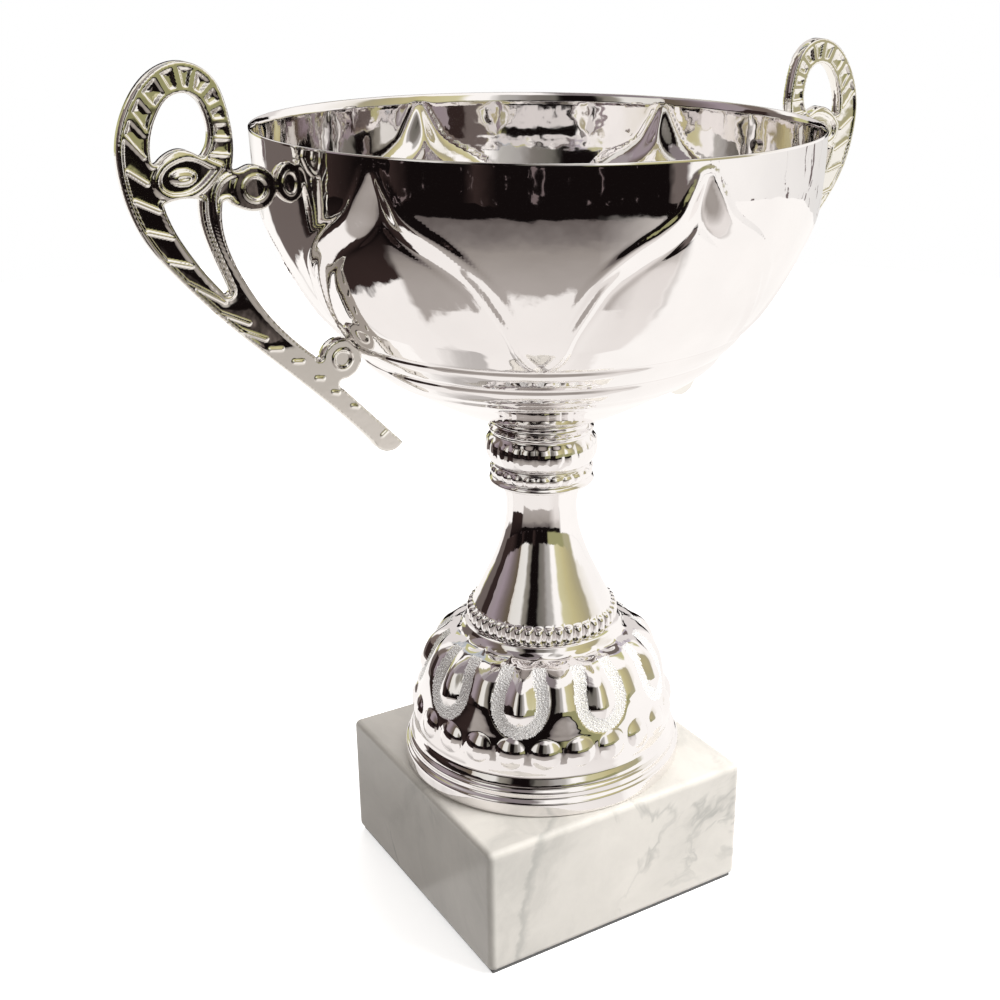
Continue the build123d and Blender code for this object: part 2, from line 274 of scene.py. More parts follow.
def stippled_metal(name, colour):
    """The matte, pitted plating of the relief's bands. Its colour darkens towards the pit floors, a painted
    shade in the pits.
    """
    material, tree, shader = node_material(name)
    shader.inputs["Metallic"].default_value = 0.6
    pits = add_node(tree, "ShaderNodeTexVoronoi", {"Vector": object_position(tree), "Scale": 2000.0})
    # Painted shade: the colour is darker at the pit floors, where the same pits sink the bump.
    tree.links.new(ramp(tree, pits.outputs["Distance"], [(0.1, colour), (0.6, 0.97)]),
                   shader.inputs["Base Color"])
    tree.links.new(scaled(tree, noise(tree, 800.0), 0.18, 0.34), shader.inputs["Roughness"])
    bumped(tree, shader, pits.outputs["Distance"], 0.7, 0.0003)
    return material


MARBLE_VEIN = (0.34, 0.34, 0.32, 1.0)
# One stronger vein: the direction across it, its offset with its waviness, and its profile, in which
# one unit is 1 / VEIN_SCALE metres.
VEIN_ACROSS = (1.0, -1.1, -0.24)
VEIN_SCALE = 60.0
VEIN_WAVE = (-0.0195, -0.0041)
VEIN_PROFILE = [(0.42, 0.0), (0.485, 0.75), (0.515, 0.75), (0.64, 0.0)]
MARBLE_CLOUDS = [(0.30, (0.56, 0.54, 0.50)), (0.46, (0.70, 0.67, 0.62)), (0.64, (0.78, 0.745, 0.69))]


def marble(name):
    """Polished white marble: soft grey clouds, thin broken veins and a few darker lines."""
    material, tree, shader = node_material(name)
    place = object_position(tree)
    warp = add_node(tree, "ShaderNodeTexNoise", {"Vector": place, "Scale": 18.0, "Detail": 4.0})
    bent = add_node(tree, "ShaderNodeMix", {"Factor": 0.05, "A": place, "B": warp.outputs["Color"]},
                    data_type="VECTOR").outputs[1]
    clouds = ramp(tree, noise(tree, 24.0, 7.0, 0.62, 0.3, bent), MARBLE_CLOUDS)
    vein_field = noise(tree, 13.0, 6.0, 0.60, 0.4, bent)
    veins = ramp(tree, vein_field, [(0.0, 0.0), (0.482, 0.0), (0.5, 1.0), (0.516, 0.0)])
    patches = ramp(tree, noise(tree, 26.0, 2.0), [(0.47, 0.0), (0.66, 0.6)])
    share = calculated(tree, "MULTIPLY", veins, patches)
    lean = add_node(tree, "ShaderNodeVectorMath", {0: place, 1: VEIN_ACROSS}, operation="DOT_PRODUCT")
    wave = scaled(tree, noise(tree, 45.0, 5.0, 0.6), *VEIN_WAVE)
    across = calculated(tree, "ADD", lean.outputs["Value"], wave)
    line = ramp(tree, calculated(tree, "MULTIPLY_ADD", across, VEIN_SCALE, 0.5), VEIN_PROFILE)
    broken = scaled(tree, noise(tree, 90.0, 3.0), 0.1, 1.0)
    share = calculated(tree, "MAXIMUM", share, calculated(tree, "MULTIPLY", line, broken))
    tree.links.new(blended(tree, share, clouds, MARBLE_VEIN), shader.inputs["Base Color"])
    tree.links.new(scaled(tree, noise(tree, 60.0, 3.0), 0.10, 0.30), shader.inputs["Roughness"])
    bumped(tree, shader, noise(tree, 300.0, 5.0), 0.12, 0.0003)
    return material


def felt(name):
    material, tree, shader = node_material(name)
    fibres = noise(tree, 1800.0, 6.0, 0.8)
    tree.links.new(ramp(tree, fibres, [(0.3, (0.09, 0.09, 0.09)), (0.8, (0.22, 0.22, 0.21))]),
                   shader.inputs["Base Color"])
    tree.links.new(scaled(tree, fibres, 0.8, 1.0), shader.inputs["Roughness"])
    shader.inputs["Sheen Weight"].default_value = 0.4
    bumped(tree, shader, fibres, 0.8, 0.0004)
    return material


def zinc_steel(name):
    material, tree, shader = node_material(name)
    shader.inputs["Metallic"].default_value = 1.0
    cloud = noise(tree, 120.0, 4.0)
    tree.links.new(ramp(tree, cloud, [(0.3, (0.50, 0.50, 0.52)), (0.7, (0.68, 0.68, 0.69))]),
                   shader.inputs["Base Color"])
    tree.links.new(scaled(tree, noise(tree, 700.0, 4.0), 0.22, 0.42), shader.inputs["Roughness"])
    bumped(tree, shader, noise(tree, 1500.0, 3.0), 0.25, 0.0001)
    return material


BOWL_METAL = mirror_metal("bowl_plating", light=(0.94, 0.92, 0.915), dark=(0.88, 0.86, 0.855),
                          rough=(0.012, 0.05), wave_scale=130.0, wave=0.00022)
HANDLE_METAL = mirror_metal("handle_plating", light=(0.92, 0.90, 0.86), dark=(0.86, 0.84, 0.79),
                            rough=(0.02, 0.06), wave_scale=220.0, wave=0.0001, grain=0.02)
PLASTIC_PLATING = mirror_metal("plastic_plating", light=(0.95, 0.93, 0.925), dark=(0.88, 0.86, 0.86),
                               rough=(0.015, 0.06), wave_scale=170.0, wave=0.00022)
STIPPLE = stippled_metal("stippled_plating", (0.86, 0.84, 0.825))
MARBLE = marble("white_marble")
FELT = felt("black_felt")
STEEL = zinc_steel("zinc_steel")

# ---- bowl ----
ROD_HOLE = 3.4
BOWL_WALL = 0.9
RIM_THINNING = 0.42
RIM_BEVEL = 0.13
RIM_DROP = 0.15
RIM_RADIUS, RIM_Z = 69.6, 211.4
# The rim's last stretch, over which the wall gets thinner, and how densely each stretch is sampled.
RIM_TAPER = (209.9, 211.0)
FLOOR_STEP, BAND_STEP, SHOULDER_STEP, SIDE_STEP = 1.1, 0.42, 0.55, 0.62
PETAL_COUNT = 6
PETAL_FIRST = -91.5
BOWL_COLUMNS = 576
FLOOR_AND_SIDE = [(13.0, 136.8), (20.1, 139.2), (28.5, 143.4), (35.7, 147.6), (42.0, 151.2), (42.9, 151.9)]
BAND_B = [(42.9, 151.9), (45.2, 153.9), (46.9, 156.4), (47.0, 156.9)]
BAND_A = [(47.0, 156.9), (49.8, 159.4), (51.9, 162.2), (52.0, 162.7)]
BOWL_SIDE = [(52.0, 162.7), (57.2, 168.7), (63.3, 179.2), (67.6, 189.6), (69.1, 199.0), (RIM_RADIUS, RIM_Z)]
RING_HEIGHTS = (151.9, 156.9, 162.7)
RING_DEPTH, RING_HALF_WIDTH = 0.30, 0.55
HALF_PANEL = 180.0 / PETAL_COUNT
PANELS_LOW = 160.0
# How deep a panel lies, and half the width of the step round it, as (heights, values).
PANEL_DEPTH = ([162.7, 164.0, 171.0, 179.0, 188.0, 196.0, 203.0, 206.5],
               [0.0, 0.05, 0.25, 0.5, 1.25, 2.0, 1.9, 1.3])
PANEL_STEP = ([165.0, 185.0, 198.0, 206.0], [1.5, 2.7, 2.5, 1.6])
PANEL_RIB, PANEL_RIB_HALF_WIDTH, PANEL_RIB_FADE = 0.62, 1.15, (190.0, 180.0)
CREST_RISE, CREST_OFFSET, CREST_HALF_WIDTH = 0.24, 0.6, 1.5
HOLLOW_DEPTH, HOLLOW_OFFSET, HOLLOW_HALF_WIDTH = 0.14, 0.4, 1.4
CREST_DEPTHS, CREST_FADE = (0.3, 1.2), (163.2, 165.0)
DIMPLE_Z, DIMPLE_DEPTH, DIMPLE_RADIUS = 164.0, 0.4, 1.3
# The ogee edge of a panel, as (degrees from its middle, height), from the tip down to the valley.
PANEL_EDGE = [(0.0, 206.5), (1.7, 202.0), (3.6, 197.5), (7.1, 194.1), (11.0, 191.5), (14.9, 188.2),
              (18.2, 184.4), (20.7, 179.4), (23.3, 173.6), (26.0, 166.7), (28.7, 163.9), (30.0, 163.2)]


def bowl_radius(height):
    side = smooth_curve(BOWL_SIDE, 0.5)
    return np.interp(height, side[:, 1], side[:, 0])


def on_bowl(degrees, height):
    r = bowl_radius(height)
    return np.stack([r * np.cos(np.radians(degrees)), r * np.sin(np.radians(degrees)), height], axis=-1)


def bowl_lift(azimuth, radius, height):
    """Six recessed ogee panels and the grooves of the three rings."""
    from_middle = np.abs(sector(azimuth, PETAL_FIRST, PETAL_COUNT))
    edge = smooth_curve(PANEL_EDGE, 0.8)
    lift = np.zeros(len(azimuth))
    side = height > PANELS_LOW
    here = on_bowl(from_middle[side], height[side])
    gap = np.minimum(line_distance(here, on_bowl(edge[:, 0], edge[:, 1])),
                     line_distance(here, on_bowl(-edge[:, 0], edge[:, 1])))
    gap = np.minimum(gap, line_distance(here, on_bowl(2 * HALF_PANEL - edge[:, 0], edge[:, 1])))
    edge_height = np.interp(from_middle[side], edge[:, 0], edge[:, 1])
    inside = np.where(height[side] < edge_height, gap, -gap)
    depth = np.interp(height[side], *PANEL_DEPTH)
    reach = np.interp(height[side], *PANEL_STEP)
    step = smoothstep(-reach, reach, inside)
    # A raised line outside the step and a hollow one inside it; lower down, a rib on the step.
    crest = (CREST_RISE * bump(inside + reach + CREST_OFFSET, CREST_HALF_WIDTH)
             - HOLLOW_DEPTH * bump(inside - reach - HOLLOW_OFFSET, HOLLOW_HALF_WIDTH))
    rib = PANEL_RIB * bump(inside, PANEL_RIB_HALF_WIDTH) * smoothstep(*PANEL_RIB_FADE, height[side])
    tail = smoothstep(*CREST_FADE, height[side])
    lift[side] = -depth * step + (np.clip(depth, *CREST_DEPTHS) * crest + rib) * tail
    dimple = np.hypot(np.radians(HALF_PANEL - from_middle) * radius, height - DIMPLE_Z)
    lift -= DIMPLE_DEPTH * bump(dimple, DIMPLE_RADIUS)
    for ring in RING_HEIGHTS:
        lift -= RING_DEPTH * bump(height - ring, RING_HALF_WIDTH)
    return lift


def make_bowl():
    """The pressed shell: its outside climbs, the rim turns over and the inside comes back down."""
    side = smooth_curve(BOWL_SIDE, SIDE_STEP)
    side = side[side[:, 1] > BOWL_SIDE[1][1]]
    outside = softened(joined(smooth_curve(FLOOR_AND_SIDE, FLOOR_STEP), smooth_curve(BAND_B, BAND_STEP),
                              smooth_curve(BAND_A, BAND_STEP), smooth_curve(BOWL_SIDE[:2], SHOULDER_STEP),
                              side), 1)
    normals = path_normals(outside)
    outside[-1] = (RIM_RADIUS, RIM_Z)
    normals[-1] = (1.0, 0.0)
    inner_rows = np.arange(len(outside) - 1, -1, -2)
    wall = BOWL_WALL - RIM_THINNING * smoothstep(*RIM_TAPER, outside[inner_rows, 1])
    inside = outside[inner_rows] - wall[:, None] * normals[inner_rows]
    inside[:, 1] = np.minimum(inside[:, 1], RIM_Z)
    rim_curl = np.array([(RIM_RADIUS - RIM_BEVEL, RIM_Z), (inside[0, 0] + RIM_BEVEL, RIM_Z)])
    outside[-1, 1] = RIM_Z - RIM_DROP
    inside[0, 1] = RIM_Z - RIM_DROP
    low = np.array([(ROD_HOLE, inside[-1, 1]), (ROD_HOLE, outside[0, 1])])
    path = np.concatenate([outside, rim_curl, inside, low])
    key = np.concatenate([outside, outside[[-1, -1]], outside[inner_rows], outside[[0, 0]]])
    rim_normals = np.repeat([[1.0, 0.0]], 2, axis=0)
    all_normals = np.concatenate([normals, rim_normals, normals[inner_rows], rim_normals])
    share = np.ones(len(path))
    share[-2:] = 0.0
    points = turned_points(path, all_normals, key, BOWL_COLUMNS, bowl_lift, share)
    reach = np.hypot(points[:, 0], points[:, 1])
    points[:, :2] *= np.minimum(1.0, RIM_RADIUS / reach)[:, None]
    faces = ring_faces(len(path), BOWL_COLUMNS)
    return new_piece("cup_bowl", points, faces, [BOWL_METAL], ["bowl"])


make_bowl()

# ---- foot ----
FOOT_COLUMNS = 576
FOOT_SKIRT = [(38.3, 37.6), (38.75, 37.9), (38.85, 38.4), (38.85, 41.5), (38.5, 42.0), (37.8, 42.4),
              (37.65, 43.1), (37.85, 43.9), (37.6, 44.6), (37.0, 44.9), (36.95, 45.6), (36.6, 46.6),
              (36.1, 47.7), (36.0, 48.5), (36.2, 49.4)]
FOOT_DOME = [(36.2, 49.4), (36.15, 51.5), (35.4, 55.6), (33.5, 62.0), (31.4, 67.9), (28.6, 72.6),
             (26.2, 74.8)]
FOOT_COLLAR = [(26.2, 74.8), (24.6, 75.4), (23.3, 76.0), (22.4, 76.6), (21.7, 77.4), (21.3, 78.4)]
BOSS_COUNT, BOSS_Z = 24, 54.6
BOSS_HALF_WIDTH, BOSS_HALF_HEIGHT, BOSS_RISE = 4.0, 4.0, 1.0
ARCH_COUNT, ARCH_FIRST = 9, -132.0
ARCH_HALF_BAND, ARCH_EDGE, ARCH_DEPTH = 1.75, 0.35, 0.12
STIPPLE_RISE = 0.045
# Half of a horseshoe band's centre line, as (sideways, height).
ARCH_LINE = [(0.0, 60.1), (3.0, 60.9), (5.0, 62.9), (5.9, 65.6), (5.9, 68.2), (5.3, 70.6), (4.5, 73.0),
             (4.1, 75.2)]
# Half widths of the drop inside an arch and of the lobe between two arches, as (heights, widths).
DROP_WIDTH = ([61.0, 62.6, 64.5, 66.5, 70.0, 73.5, 75.5], [0.8, 3.2, 4.9, 4.9, 4.2, 3.2, 2.6])
LOBE_WIDTH = ([58.0, 60.0, 64.0, 68.0, 72.0, 76.0], [13.0, 10.0, 6.6, 5.6, 5.6, 5.6])
DROP_RISE, LOBE_RISE = 1.5, 0.95
# The heights over which the dome's relief, the drops and the lobes come in, and go out again above.
RELIEF_SPAN = ((57.4, 59.0), (76.0, 74.2))
DROP_SPAN = ((60.6, 64.6), (76.0, 69.0))
LOBE_SPAN = ((57.0, 66.0), (76.4, 71.0))
STIPPLE_SPAN = (57.8, 75.0)
SKIRT_STEP, DOME_STEP = 0.3, 0.34
CRESCENT_Z, CRESCENT_HALF_WIDTH, CRESCENT_DEPTH = 76.1, 4.4, 0.5


def arch_distance(azimuth, radius, height):
    """Sideways place in the nearest arch's sector, and the distance to its band's centre line."""
    sideways = np.abs(np.radians(sector(azimuth, ARCH_FIRST, ARCH_COUNT)) * radius)
    line = smooth_curve(ARCH_LINE, 1.0)
    near = np.minimum(line_distance(np.stack([sideways, height], 1), line),
                      line_distance(np.stack([-sideways, height], 1), line))
    return sideways, near


def foot_lift(azimuth, radius, height):
    """A row of bosses, and above them the arched bands with a drop in each and a lobe between them."""
    side = np.radians(sector(azimuth, 0.0, BOSS_COUNT)) * radius
    boss = np.hypot(side / BOSS_HALF_WIDTH, (height - BOSS_Z) / BOSS_HALF_HEIGHT)
    lift = BOSS_RISE * np.clip(1.0 - boss ** 2, 0.0, 1.0) ** 0.9
    on_dome = window(height, *RELIEF_SPAN)
    sideways, near = arch_distance(azimuth, radius, height)
    band = smoothstep(ARCH_HALF_BAND + ARCH_EDGE, ARCH_HALF_BAND - ARCH_EDGE, near)
    drop = bump(sideways, np.interp(height, *DROP_WIDTH)) * window(height, *DROP_SPAN)
    from_lobe = np.radians(sector(azimuth, ARCH_FIRST + 180.0 / ARCH_COUNT, ARCH_COUNT)) * radius
    lobe = bump(from_lobe, np.interp(height, *LOBE_WIDTH)) * window(height, *LOBE_SPAN)
    lift += on_dome * (DROP_RISE * drop + LOBE_RISE * lobe) - ARCH_DEPTH * on_dome * band
    lift += on_dome * band * STIPPLE_RISE * rng.uniform(-1.0, 1.0, len(azimuth))
    across = np.radians(sector(azimuth, ARCH_FIRST, 2 * ARCH_COUNT)) * radius
    crescent = np.hypot(across / CRESCENT_HALF_WIDTH, height - CRESCENT_Z)
    return lift - CRESCENT_DEPTH * bump(crescent, 1.0)


def foot_stippled(azimuth, height):
    """True for the faces on the arched bands."""
    dome_line = smooth_curve(FOOT_DOME, 0.5)
    radius = np.interp(height, dome_line[:, 1], dome_line[:, 0])
    near = arch_distance(azimuth, radius, height)[1]
    return (near < ARCH_HALF_BAND) & (height > STIPPLE_SPAN[0]) & (height < STIPPLE_SPAN[1])


foot_outside = softened(joined(straight(FOOT_SKIRT, SKIRT_STEP), smooth_curve(FOOT_DOME, DOME_STEP),
                               smooth_curve(FOOT_COLLAR, DOME_STEP)), 2)
turned_piece("foot_relief_shell", foot_outside, ROD_HOLE, FOOT_COLUMNS, foot_lift,
             [PLASTIC_PLATING, STIPPLE], ["foot_shell"], foot_stippled)

# ---- stem ----
STEM_COLUMNS = 576
BEAD_COUNT, BEAD_Z, BEAD_FIRST = 45, 80.7, 4.0
BEAD_RING, BEAD_HALF_WIDTH, BEAD_HALF_HEIGHT, BEAD_RISE = 20.0, 1.3, 2.45, 1.5
BEAD_STEP, STEM_STEP = 0.22, 0.62
STEM_BASE = [(19.3, 78.4), (19.3, 83.0)]
STEM_SIDE = [(19.3, 83.0), (16.5, 88.9), (12.6, 97.3), (10.05, 105.7), (9.55, 112.5), (10.7, 118.5)]


def stem_lift(azimuth, radius, height):
    """One row of upright oval beads whose tops make a scalloped edge."""
    sideways = np.radians(sector(azimuth, BEAD_FIRST, BEAD_COUNT)) * BEAD_RING
    across = np.clip(1.0 - (sideways / BEAD_HALF_WIDTH) ** 2, 0.0, 1.0)
    along = np.clip(1.0 - np.abs((height - BEAD_Z) / BEAD_HALF_HEIGHT) ** 3, 0.0, 1.0)
    return BEAD_RISE * across ** 0.5 * along ** 0.5


stem_outside = softened(joined(straight(STEM_BASE, BEAD_STEP), smooth_curve(STEM_SIDE, STEM_STEP)), 2)
turned_piece("stem_trumpet", stem_outside, ROD_HOLE, STEM_COLUMNS, stem_lift, [PLASTIC_PLATING],
             ["stem_cone"])

# ---- knop and its collar ----
COLLAR_SIDE = [(12.4, 118.5), (13.9, 118.8), (14.1, 119.5), (13.7, 120.2), (13.3, 120.6), (13.4, 121.4),
               (13.5, 122.4), (13.3, 123.3), (12.9, 123.8), (12.9, 124.2)]
COLLAR_LOBES, COLLAR_LOBE_Z, COLLAR_LOBE_RISE = 24, 122.1, 0.42
COLLAR_LOBE_HALF_WIDTH, COLLAR_LOBE_HALF_HEIGHT, COLLAR_RADIUS = 1.75, 1.6, 13.5
KNOP_SIDE = [(12.9, 124.2), (13.8, 124.9), (14.6, 126.5), (14.75, 128.6), (14.4, 130.6), (13.7, 131.9),
             (13.3, 132.6), (13.7, 133.2), (13.9, 133.8), (13.3, 134.5), (12.8, 135.2), (13.3, 136.2),
             (14.4, 136.8)]
KNOP_LOBES, KNOP_LOBE_RISE = 24, 0.26
# The belt of lobes comes in over the first heights, which wave with the lobes, and ends over the second.
BELT_SPAN, BELT_WAVE = ((126.4, 128.4), (132.2, 130.6)), 0.5
HEM_Z, HEM_WAVE, HEM_HALF_WIDTH, HEM_RISE, HEM_SCALLOP = 133.6, 0.25, 0.8, 0.15, 0.1
KNOP_COLUMNS, COLLAR_COLUMNS = 576, 480
KNOP_STEP, COLLAR_STEP = 0.22, 0.16


def collar_lift(azimuth, radius, height):
    """A row of round lobes."""
    sideways = np.radians(sector(azimuth, 0.0, COLLAR_LOBES)) * COLLAR_RADIUS
    lobe = np.hypot(sideways / COLLAR_LOBE_HALF_WIDTH, (height - COLLAR_LOBE_Z) / COLLAR_LOBE_HALF_HEIGHT)
    return COLLAR_LOBE_RISE * np.clip(1.0 - lobe ** 2, 0.0, 1.0)


def knop_lift(azimuth, radius, height):
    """Upright lobes round the widest part, with a scalloped step above and below them."""
    wave = np.cos(np.radians(azimuth) * KNOP_LOBES)
    rise, fall = BELT_SPAN
    belt = window(height, [z - BELT_WAVE * wave for z in rise], fall)
    hem = bump(height - HEM_Z - HEM_WAVE * wave, HEM_HALF_WIDTH)
    return KNOP_LOBE_RISE * belt * np.sqrt(0.5 + 0.5 * wave) + (HEM_RISE + HEM_SCALLOP * wave) * hem


turned_piece("knop_lobed_collar", softened(straight(COLLAR_SIDE, COLLAR_STEP), 2), ROD_HOLE,
             COLLAR_COLUMNS, collar_lift, [PLASTIC_PLATING], ["knop_collar"])
turned_piece("knop_gadrooned", softened(smooth_curve(KNOP_SIDE, KNOP_STEP), 1), ROD_HOLE, KNOP_COLUMNS,
             knop_lift, [PLASTIC_PLATING], ["knop"])

# ---- handles ----
HALF_PLATE = 1.8
EDGE_ROUND = 0.4
LATTICE = 0.3
# The raised flats along the edges and the ridges, and what they gain towards the loop at the top.
RIM_FLAT, LOOP_RIM_GAIN = 0.85, 0.4
RIDGE_FLAT, LOOP_RIDGE_GAIN = 0.2, 0.5
LEAF_MARGIN, NECK_MARGIN = 0.8, 0.35
POCKET_DEPTH, POCKET_WALL = 0.45, 0.3
POCKET_SAG, LOOP_SAG_GAIN, SAG_REACH = 0.02, 0.12, (0.2, 1.6)
# The heights over which the pockets come in and over which the loop begins.
UPPER_FROM, LOOP_FROM = (164.0, 176.0), (211.0, 218.0)
TICK_RISE, TICK_HALF_WIDTH = 0.24, 0.6
LEAF_DEPTH, LEAF_RIM_RISE, LEAF_RIM_HALF_WIDTH, LEAF_RIM_SHARPNESS = 0.55, 0.22, 0.95, 1.6
LUG_DEPTH, LUG_RING_RISE, LUG_RING_HALF_WIDTH = 0.4, 0.2, 0.5
SMALLEST_OUTLINE = 50.0
UPPER_LUG, UPPER_RING = (74.0, 201.3), 2.7
LOWER_LUG, LOWER_RING = (55.8, 160.0), 2.25
LUG_REACH, LUG_FADE = 4.7, 1.2
LEAF_EYE, LEAF_EYE_HALF = (89.7, 204.8), (2.8, 1.7)
EYE_FLOOR, EYE_RISE, EYE_SLOT_DEPTH = -0.5, 0.8, 0.5
EYE_SLOT_DROP, EYE_SLOT_HALF = 0.15, (1.5, 0.5)
LEAF_RIM = [(81.7, 206.4), (83.6, 207.3), (85.8, 208.6), (88.6, 209.3), (91.4, 208.7), (93.9, 207.2),
            (95.3, 204.9), (95.0, 202.6), (93.4, 201.2), (91.0, 200.7), (88.4, 201.1), (86.0, 202.3),
            (83.8, 204.2), (81.7, 206.4)]
NECK_RIM = [(77.4, 204.6), (79.8, 204.4), (81.9, 203.0), (83.0, 200.8), (83.3, 197.5), (82.9, 193.0),
            (81.9, 189.0), (79.9, 184.2), (76.8, 179.0), (73.2, 174.2), (69.4, 170.0)]
# Rope ridges across the loop and the strap, from the outer edge to the inner one, as (x, z) pairs.
ROPE_RIDGES = [((97.3, 222.2), (94.8, 218.9)), ((99.5, 218.1), (96.6, 213.9)),
               ((101.1, 213.8), (97.5, 209.5)), ((101.2, 206.8), (97.4, 204.0)),
               ((100.3, 200.6), (95.4, 198.1)), ((98.3, 194.0), (92.9, 192.3)),
               ((94.6, 187.3), (89.5, 185.8)), ((90.5, 182.0), (82.9, 177.0)),
               ((84.7, 174.9), (77.8, 171.5)), ((93.1, 225.5), (91.4, 222.4)),
               ((89.4, 226.9), (88.8, 223.2)), ((85.7, 225.9), (86.6, 222.5)),
               ((82.2, 223.3), (84.3, 221.2)), ((80.2, 219.8), (83.0, 218.6)),
               ((79.0, 216.0), (82.6, 215.8)), ((78.6, 212.3), (82.6, 212.6)),
               ((78.9, 208.8), (83.4, 209.4))]
# Small ticks that fade out along the strap's lower half.
STRAP_TICKS = [((79.6, 170.0), (74.2, 167.4)), ((73.4, 164.9), (70.6, 164.6)),
               ((67.9, 161.2), (65.8, 160.9)), ((62.6, 156.4), (61.0, 156.1)),
               ((58.7, 152.4), (57.4, 152.0)), ((54.0, 148.2), (52.6, 147.8)),
               ((46.6, 139.4), (44.4, 141.0))]


def plate_outlines(node):
    """Closed outlines, in X and Z, of all faces of a CAD plate that look along -Y, in millimetres."""
    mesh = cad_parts[node].data
    mesh.calc_loop_triangles()
    edges = set()
    for triangle in mesh.loop_triangles:
        if triangle.normal.y > -0.99:
            continue
        corners = [mesh.vertices[i].co for i in triangle.vertices]
        keys = [(round(c.x / MM, 3), round(c.z / MM, 3)) for c in corners]
        edges.update(zip(keys, keys[1:] + keys[:1]))
    rim = {a: b for a, b in edges if (b, a) not in edges}
    outlines = []
    while rim:
        start, here = rim.popitem()
        outline = [start]
        while here != start and here in rim:
            outline.append(here)
            here = rim.pop(here)
        outlines.append(np.array(outline))
    return outlines


def area_of(outline):
    x, z = outline[:, 0], outline[:, 1]
    return 0.5 * abs(x @ np.roll(z, -1) - z @ np.roll(x, -1))


def evened(outline, step):
    """A closed outline with points about every step, its facets rounded a little."""
    closed = np.concatenate([outline, outline[:1]])
    fine = []
    for a, b in zip(closed[:-1], closed[1:]):
        count = max(1, int(round(np.linalg.norm(b - a) / step)))
        fine.extend(a + (b - a) * k / count for k in range(count))
    fine = np.array(fine)
    keep = np.linalg.norm(fine - np.roll(fine, 1, axis=0), axis=1) > 0.3 * step
    fine = fine[keep]
    for _ in range(3):
        fine = 0.25 * np.roll(fine, 1, axis=0) + 0.5 * fine + 0.25 * np.roll(fine, -1, axis=0)
    return fine


def is_inside(points, outlines):
    """Even-odd test against all the outlines together."""
    inside = np.zeros(len(points), bool)
    for outline in outlines:
        for a, b in zip(outline, np.roll(outline, -1, axis=0)):
            crosses = (a[1] > points[:, 1]) != (b[1] > points[:, 1])
            if not crosses.any():
                continue
            x = a[0] + (points[:, 1] - a[1]) / (b[1] - a[1] + 1e-12) * (b[0] - a[0])
            inside ^= crosses & (points[:, 0] < x)
    return inside


def distance_to(p, centre):
    return np.hypot(p[:, 0] - centre[0], p[:, 1] - centre[1])


def handle_relief(p, from_edge):
    """Height of the face above the plain plate at points (x, z), given their distance from the edge."""
    x, z = p[:, 0], p[:, 1]
    upper = smoothstep(*UPPER_FROM, z)
    loop = smoothstep(*LOOP_FROM, z)
    lug_gap = np.minimum(distance_to(p, UPPER_LUG), distance_to(p, LOWER_LUG))
    off_lug = smoothstep(LUG_REACH, LUG_REACH + LUG_FADE, lug_gap)
    leaf = smooth_curve(LEAF_RIM, 0.5)
    leaf_gap = line_distance(p, leaf)
    in_leaf = is_inside(p, [leaf[:-1]])
    # Pockets lie wherever there is room to spare beside the edges, the leaf, the neck and the ridges.
    spare = np.minimum(from_edge - RIM_FLAT - LOOP_RIM_GAIN * loop,
                       np.where(in_leaf, 0.0, leaf_gap - LEAF_MARGIN))
    spare = np.minimum(spare, line_distance(p, smooth_curve(NECK_RIM, 0.5)) - NECK_MARGIN)
    for ridge in ROPE_RIDGES:
        ridge_gap = line_distance(p, np.array(ridge, float))
        spare = np.minimum(spare, ridge_gap - RIDGE_FLAT - LOOP_RIDGE_GAIN * loop)
    sag = POCKET_SAG + LOOP_SAG_GAIN * loop
    pocket = POCKET_DEPTH * smoothstep(0.0, POCKET_WALL, spare) + sag * smoothstep(*SAG_REACH, spare)
    height = -pocket * upper * off_lug
    for tick in STRAP_TICKS:
        height += TICK_RISE * bump(line_distance(p, np.array(tick, float)), TICK_HALF_WIDTH)
    height = np.where(in_leaf, -LEAF_DEPTH, height)
    rim = np.minimum(1.0, LEAF_RIM_SHARPNESS * bump(leaf_gap, LEAF_RIM_HALF_WIDTH))
    height += (LEAF_RIM_RISE - height) * rim
    across, along = x - LEAF_EYE[0], z - LEAF_EYE[1]
    eye = np.hypot(across / LEAF_EYE_HALF[0], along / LEAF_EYE_HALF[1])
    slot = bump(np.hypot(across / EYE_SLOT_HALF[0], (along + EYE_SLOT_DROP) / EYE_SLOT_HALF[1]), 1.0)
    height = np.where(eye < 1.0, EYE_FLOOR + EYE_RISE * dome(eye, 1.0) - EYE_SLOT_DEPTH * slot, height)
    for centre, ring in ((UPPER_LUG, UPPER_RING), (LOWER_LUG, LOWER_RING)):
        reach = distance_to(p, centre)
        height = np.where(reach < ring, -LUG_DEPTH, height)
        height += (LUG_RING_RISE - height) * bump(reach - ring, LUG_RING_HALF_WIDTH)
    return height


